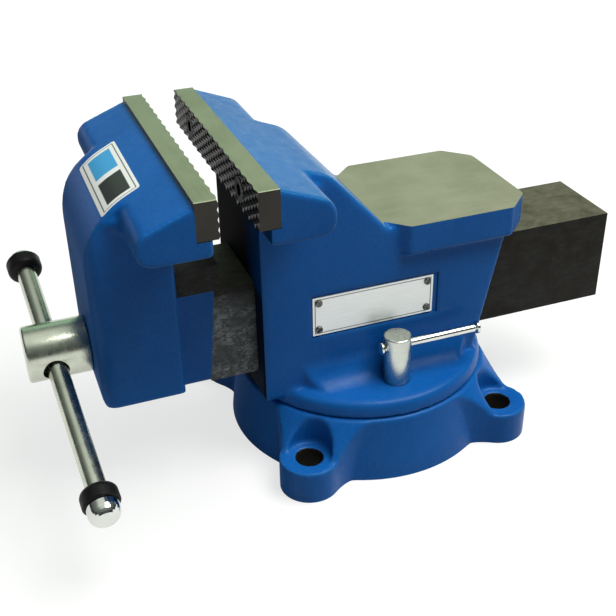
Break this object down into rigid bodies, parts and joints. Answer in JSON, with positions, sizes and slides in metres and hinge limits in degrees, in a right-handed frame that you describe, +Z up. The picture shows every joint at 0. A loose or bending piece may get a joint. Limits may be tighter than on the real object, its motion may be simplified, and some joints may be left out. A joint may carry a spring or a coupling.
{
  "type": "swivel bench vise",
  "caption": "Swivel bench vise: bolted cast base, turning body with anvil, sliding jaw on a bar, lead screw with a sliding handle, and two swivel lock bolts with levers.",
  "frame": {"origin": "on the swivel axis, at the bench under the middle of the base", "axes": "+Z up along the swivel axis, +Y from the handle towards the anvil and the bar's rear end, +X to the side with the nameplate"},
  "size_m": [0.1838, 0.3348, 0.183],
  "materials": {
    "paint": "glossy blue enamel on cast iron",
    "bare_iron": "bare machined iron",
    "plate_steel": "ground hardened steel",
    "bright_steel": "bright plated steel",
    "zinc": "zinc plated steel",
    "spring_steel": "oiled spring steel",
    "rubber": "black rubber",
    "plate_label": "satin plate, bare"
  },
  "bodies": {
    "base": {"swivel_base": "paint"},
    "body": {"vise_body": "paint", "fixed_jaw_plate": "plate_steel", "fixed_jaw_screws": "spring_steel", "main_nut": "bare_iron", "nut_bolt": "zinc", "nut_bolt_washer": "zinc", "nameplate": "plate_label", "nameplate_rivets": "zinc"},
    "jaw": {"moving_jaw": "paint", "moving_jaw_plate": "plate_steel", "moving_jaw_screws": "spring_steel", "spring_washer": "zinc"},
    "screw": {"lead_screw": "bright_steel", "retract_spring": "spring_steel", "screw_collar": "zinc", "collar_pin": "bright_steel"},
    "handle": {"handle_bar": "bright_steel", "handle_ring_near": "rubber", "handle_ring_far": "rubber", "handle_cap_near": "bright_steel", "handle_cap_far": "bright_steel"},
    "lock_right": {"lock_bolt_right": "zinc"},
    "lever_right": {"lock_lever_right": "bright_steel"},
    "shoe_right": {"lock_shoe_right": "bare_iron"},
    "lock_left": {"lock_bolt_left": "zinc"},
    "lever_left": {"lock_lever_left": "bright_steel"},
    "shoe_left": {"lock_shoe_left": "bare_iron"}
  },
  "joints": [
    {"name": "swivel", "type": "hinge", "parent": "base", "child": "body", "pos_m": [0, 0, 0.0365], "axis": [0, 0, 1], "continuous": true},
    {"name": "jaw_slide", "type": "slide", "parent": "body", "child": "jaw", "axis": [0, -1, 0], "range_m": [-0.01745, 0.1326]},
    {"name": "screw_turn", "type": "hinge", "parent": "jaw", "child": "screw", "pos_m": [0, -0.156, 0.0784], "axis": [0, -1, 0], "range_deg": [-1048, 7958]},
    {"name": "handle_slide", "type": "slide", "parent": "screw", "child": "handle", "axis": [0.9508, 0.0523, -0.3053], "range_m": [-0.0744, 0.0425]},
    {"name": "lock_right_turn", "type": "hinge", "parent": "body", "child": "lock_right", "pos_m": [0.0488, 0.0013, 0.06], "axis": [0, 0, -1], "range_deg": [0, 180]},
    {"name": "lever_right_slide", "type": "slide", "parent": "lock_right", "child": "lever_right", "axis": [0, 1, 0], "range_m": [-0.038, 0]},
    {"name": "shoe_right_lift", "type": "slide", "parent": "body", "child": "shoe_right", "axis": [0, 0, 1], "range_m": [0, 0.0009]},
    {"name": "lock_left_turn", "type": "hinge", "parent": "body", "child": "lock_left", "pos_m": [-0.0488, -0.0013, 0.06], "axis": [0, 0, -1], "range_deg": [0, 180]},
    {"name": "lever_left_slide", "type": "slide", "parent": "lock_left", "child": "lever_left", "axis": [0, -1, 0], "range_m": [-0.038, 0]},
    {"name": "shoe_left_lift", "type": "slide", "parent": "body", "child": "shoe_left", "axis": [0, 0, 1], "range_m": [0, 0.0009]}
  ],
  "couplings": [
    {"joint": "screw_turn", "follows": "jaw_slide", "rad_per_m": 1047.2},
    {"joint": "shoe_right_lift", "follows": "lock_right_turn", "m_per_rad": 0.00027852},
    {"joint": "shoe_left_lift", "follows": "lock_left_turn", "m_per_rad": 0.00027852}
  ]
}
